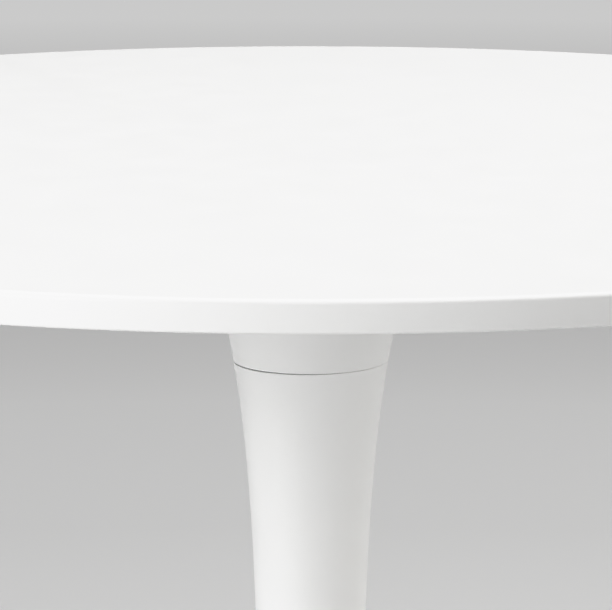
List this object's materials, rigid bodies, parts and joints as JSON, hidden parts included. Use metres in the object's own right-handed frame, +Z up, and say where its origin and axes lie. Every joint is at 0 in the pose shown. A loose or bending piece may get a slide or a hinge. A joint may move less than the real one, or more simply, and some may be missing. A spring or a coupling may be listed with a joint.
{
  "type": "round pedestal table",
  "caption": "Round dining table: a thin lacquered board on a slim flared pedestal with a wide round foot and adjustable levelling glides.",
  "frame": {"origin": "on the floor, under the centre of the board", "axes": "+Z up along the pedestal's axis; X and Y are level, and the glides lie on the diagonals between them"},
  "size_m": [1.0499, 1.05, 0.75],
  "materials": {
    "board_lacquer": "white satin lacquer on fibreboard",
    "pedestal_paint": "white powder coat, satin",
    "plate_paint": "black powder coat, fine texture",
    "zinc_steel": "bright zinc plated",
    "bare_steel": "turned steel, oiled",
    "dark_nylon": "dark nylon, matt",
    "pad_nylon": "off-white nylon",
    "edging_rubber": "black rubber, matt"
  },
  "bodies": {
    "pedestal": {"table_top": "board_lacquer", "threaded_inserts": "zinc_steel", "board_screws": "zinc_steel", "board_screw_washers": "zinc_steel", "top_plate": "pedestal_paint", "top_plate_hub": "pedestal_paint", "collar": "pedestal_paint", "collar_screws": "zinc_steel", "upper_seam_washer": "dark_nylon", "column": "pedestal_paint", "column_upper_ring": "bare_steel", "column_lower_ring": "bare_steel", "lower_seam_washer": "dark_nylon", "tie_rod": "zinc_steel", "tie_rod_washer": "zinc_steel", "tie_rod_nut": "zinc_steel", "base_anchor_nut": "bare_steel", "base_post": "bare_steel", "base_post_cap": "bare_steel", "base_bell": "pedestal_paint", "base_plate": "plate_paint", "plate_edging": "edging_rubber"},
    "glide_pad_1": {"glide_pad_1": "pad_nylon"},
    "glide_stud_1": {"glide_stud_1": "zinc_steel"},
    "glide_pad_2": {"glide_pad_2": "pad_nylon"},
    "glide_stud_2": {"glide_stud_2": "zinc_steel"},
    "glide_pad_3": {"glide_pad_3": "pad_nylon"},
    "glide_stud_3": {"glide_stud_3": "zinc_steel"},
    "glide_pad_4": {"glide_pad_4": "pad_nylon"},
    "glide_stud_4": {"glide_stud_4": "zinc_steel"}
  },
  "joints": [
    {"name": "glide_1_travel", "type": "slide", "parent": "pedestal", "child": "glide_pad_1", "axis": [0, 0, -1], "range_m": [0, 0.006]},
    {"name": "glide_1_turn", "type": "hinge", "parent": "glide_pad_1", "child": "glide_stud_1", "pos_m": [0.14496, 0.14496, 0.01], "axis": [0, 0, -1], "range_deg": [0, 1728]},
    {"name": "glide_2_travel", "type": "slide", "parent": "pedestal", "child": "glide_pad_2", "axis": [0, 0, -1], "range_m": [0, 0.006]},
    {"name": "glide_2_turn", "type": "hinge", "parent": "glide_pad_2", "child": "glide_stud_2", "pos_m": [-0.14496, 0.14496, 0.01], "axis": [0, 0, -1], "range_deg": [0, 1728]},
    {"name": "glide_3_travel", "type": "slide", "parent": "pedestal", "child": "glide_pad_3", "axis": [0, 0, -1], "range_m": [0, 0.006]},
    {"name": "glide_3_turn", "type": "hinge", "parent": "glide_pad_3", "child": "glide_stud_3", "pos_m": [-0.14496, -0.14496, 0.01], "axis": [0, 0, -1], "range_deg": [0, 1728]},
    {"name": "glide_4_travel", "type": "slide", "parent": "pedestal", "child": "glide_pad_4", "axis": [0, 0, -1], "range_m": [0, 0.006]},
    {"name": "glide_4_turn", "type": "hinge", "parent": "glide_pad_4", "child": "glide_stud_4", "pos_m": [0.14496, -0.14496, 0.01], "axis": [0, 0, -1], "range_deg": [0, 1728]}
  ],
  "couplings": [
    {"joint": "glide_1_travel", "follows": "glide_1_turn", "m_per_rad": 0.00019894},
    {"joint": "glide_2_travel", "follows": "glide_2_turn", "m_per_rad": 0.00019894},
    {"joint": "glide_3_travel", "follows": "glide_3_turn", "m_per_rad": 0.00019894},
    {"joint": "glide_4_travel", "follows": "glide_4_turn", "m_per_rad": 0.00019894}
  ]
}
